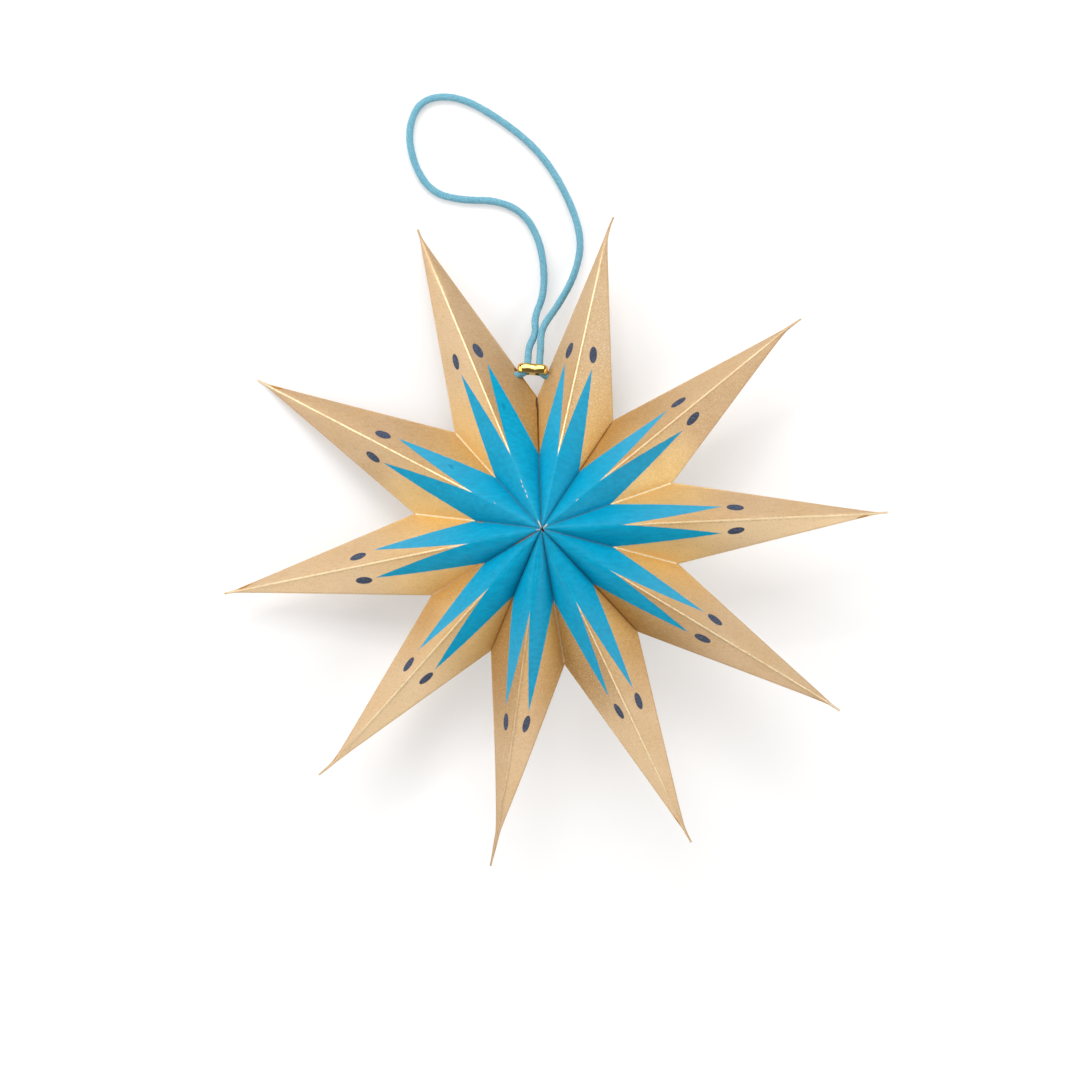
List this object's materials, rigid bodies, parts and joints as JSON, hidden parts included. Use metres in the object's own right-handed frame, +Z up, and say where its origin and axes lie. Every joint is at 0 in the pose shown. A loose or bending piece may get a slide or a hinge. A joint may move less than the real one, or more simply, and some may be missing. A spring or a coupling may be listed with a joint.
{
  "type": "origami star",
  "caption": "Folded paper star with hollow pinched points, a slide bead across its open seam and a cord loop to hang it by.",
  "frame": {"origin": "on the table under the middle of the star's bounding box, measured without the cord, its knots and its bead", "axes": "+Z is up from the table the star lies on, +Y points from the star's middle towards its open seam and cord, +X completes the frame; the star leans a few degrees as it lies on its hub and two of its points"},
  "size_m": [0.1941, 0.2285, 0.0345],
  "materials": {
    "printed_paper": "pearl gold with a printed blue and navy star round the hub",
    "cord": "soft light blue cotton",
    "bead": "polished gold colour"
  },
  "bodies": {
    "root": {"star_point_01": "printed_paper", "star_point_02": "printed_paper", "star_point_03": "printed_paper", "star_point_04": "printed_paper", "star_point_05": "printed_paper", "star_point_06": "printed_paper", "star_point_07": "printed_paper", "star_point_08": "printed_paper", "star_point_09": "printed_paper", "star_point_10": "printed_paper", "slide_bead": "bead", "left_knot": "cord", "right_knot": "cord", "hanging_cord": "cord"}
  },
  "joints": []
}
